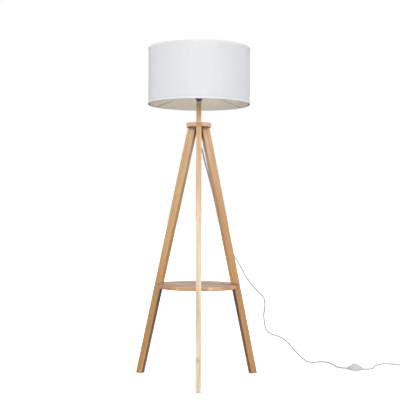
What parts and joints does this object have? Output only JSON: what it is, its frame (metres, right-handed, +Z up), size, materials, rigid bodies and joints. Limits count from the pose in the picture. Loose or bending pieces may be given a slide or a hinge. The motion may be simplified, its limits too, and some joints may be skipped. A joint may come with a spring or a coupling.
{
  "type": "tripod floor lamp",
  "caption": "Floor lamp on a tapered wooden tripod with a round shelf, a white fabric drum shade on a short wooden stem, an inline foot switch and a coiled mains lead.",
  "frame": {"origin": "on the floor under the axis that the stem, the shade and the three-legged stand share", "axes": "+Z up along that axis; -Y is the front, where one leg stands; +X is the right, where the lead runs out"},
  "size_m": [1.391, 0.8082, 1.4645],
  "materials": {
    "leg_wood": "pale oak with a clear matt lacquer",
    "head_wood": "pale oak with a clear matt lacquer",
    "shelf_wood": "pale oak board with a clear matt lacquer",
    "stem_wood": "pale oak dowel with a clear matt lacquer",
    "felt": "brown felt",
    "zinc": "zinc plated",
    "white_moulding": "moulded, satin",
    "lead": "white PVC sheath, satin",
    "holder_black": "moulded, satin black",
    "holder_core": "pale ceramic core",
    "brass": "bare",
    "shade_wire": "white powder coat",
    "shade_cloth": "off-white woven cotton",
    "shade_backing": "warm white styrene sheet",
    "hem_cloth": "off-white cotton tape",
    "switch_shell": "moulded, semi-gloss",
    "switch_cap": "moulded, semi-gloss",
    "spring_steel": "spring wire",
    "plug_white": "moulded, semi-gloss",
    "nickel": "nickel plated",
    "pin_black": "moulded"
  },
  "bodies": {
    "lamp": {"leg_front": "leg_wood", "leg_back_right": "leg_wood", "leg_back_left": "leg_wood", "leg_plugs": "leg_wood", "disc_plugs": "head_wood", "head_disc": "head_wood", "shelf": "shelf_wood", "stem": "stem_wood", "foot_pads": "felt", "leg_screws": "zinc", "shelf_screws": "zinc", "threaded_rod": "zinc", "rod_nut": "zinc", "rod_washer": "zinc", "cord_gland": "white_moulding", "cord_in_stem": "lead", "cord_to_switch": "lead", "cord_to_coil": "lead", "cord_coil": "lead", "cord_to_plug": "lead", "holder_cap": "holder_black", "holder_body": "holder_black", "holder_insert": "holder_core", "screw_shell": "brass", "centre_contact": "brass", "holder_terminals": "brass", "switch_terminals": "brass", "switch_base": "switch_shell", "switch_cover": "switch_shell", "switch_spring": "spring_steel", "switch_screws": "zinc", "plug_body": "plug_white", "plug_pins": "nickel", "pin_sleeves": "pin_black"},
    "shade": {"spider": "shade_wire", "top_rim_wire": "shade_wire", "bottom_rim_wire": "shade_wire", "shade_fabric": "shade_cloth", "shade_liner": "shade_backing", "top_hem_tape": "hem_cloth", "bottom_hem_tape": "hem_cloth"},
    "ring": {"clamp_ring": "holder_black"},
    "button": {"switch_button": "switch_cap"}
  },
  "joints": [
    {"name": "shade_lift", "type": "slide", "parent": "lamp", "child": "shade", "axis": [0, 0, 1], "range_m": [0, 0.12]},
    {"name": "ring_turn", "type": "hinge", "parent": "shade", "child": "ring", "pos_m": [0, 0, 1.303], "axis": [0, 0, 1], "range_deg": [0, 720]},
    {"name": "switch_press", "type": "slide", "parent": "lamp", "child": "button", "axis": [0, 0, -1], "range_m": [0, 0.003], "stiffness_N_per_m": 800, "springref_m": -0.002, "deforming": ["switch_spring"]}
  ]
}
